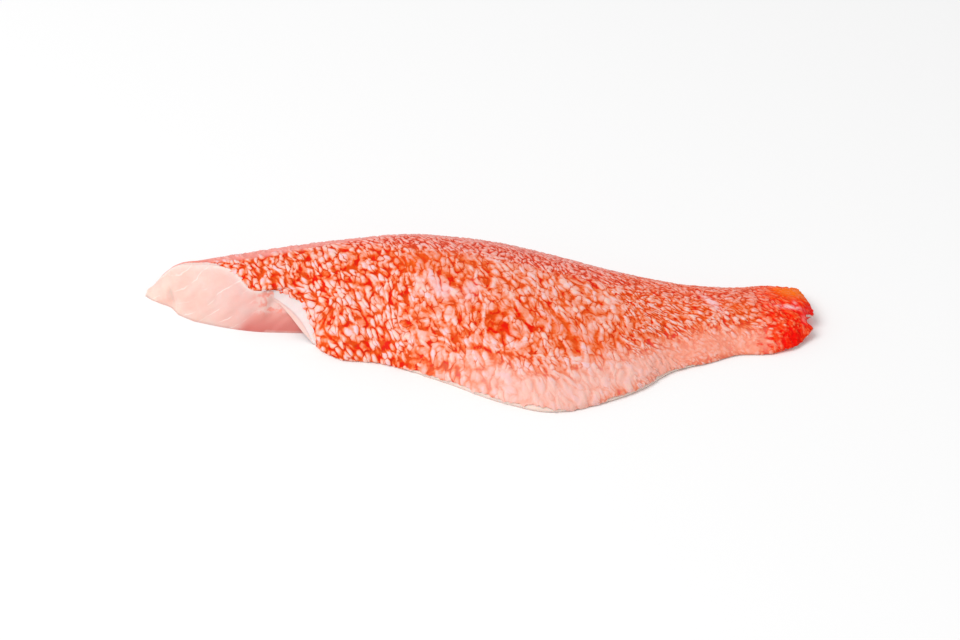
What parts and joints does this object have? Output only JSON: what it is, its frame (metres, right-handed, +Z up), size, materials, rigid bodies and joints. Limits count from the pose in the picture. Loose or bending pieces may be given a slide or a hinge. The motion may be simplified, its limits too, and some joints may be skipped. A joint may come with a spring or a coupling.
{
  "type": "raw redfish fillet",
  "caption": "Raw skin-on fish fillet lying skin side up, with orange-red skin, a slanted cut at the head end and a narrow tail.",
  "frame": {"origin": "centre of the fillet's bounding box in plan, on the ground under its flat flesh side", "axes": "+X from the head cut to the tail, +Y from the belly edge to the back edge, +Z up through the skin"},
  "size_m": [0.2458, 0.0992, 0.0256],
  "materials": {
    "skin": "wet, with pale swollen scale pockets in orange-red creases",
    "flesh": "moist, pale pink cut flesh"
  },
  "bodies": {
    "root": {"fillet": "skin"}
  },
  "joints": []
}
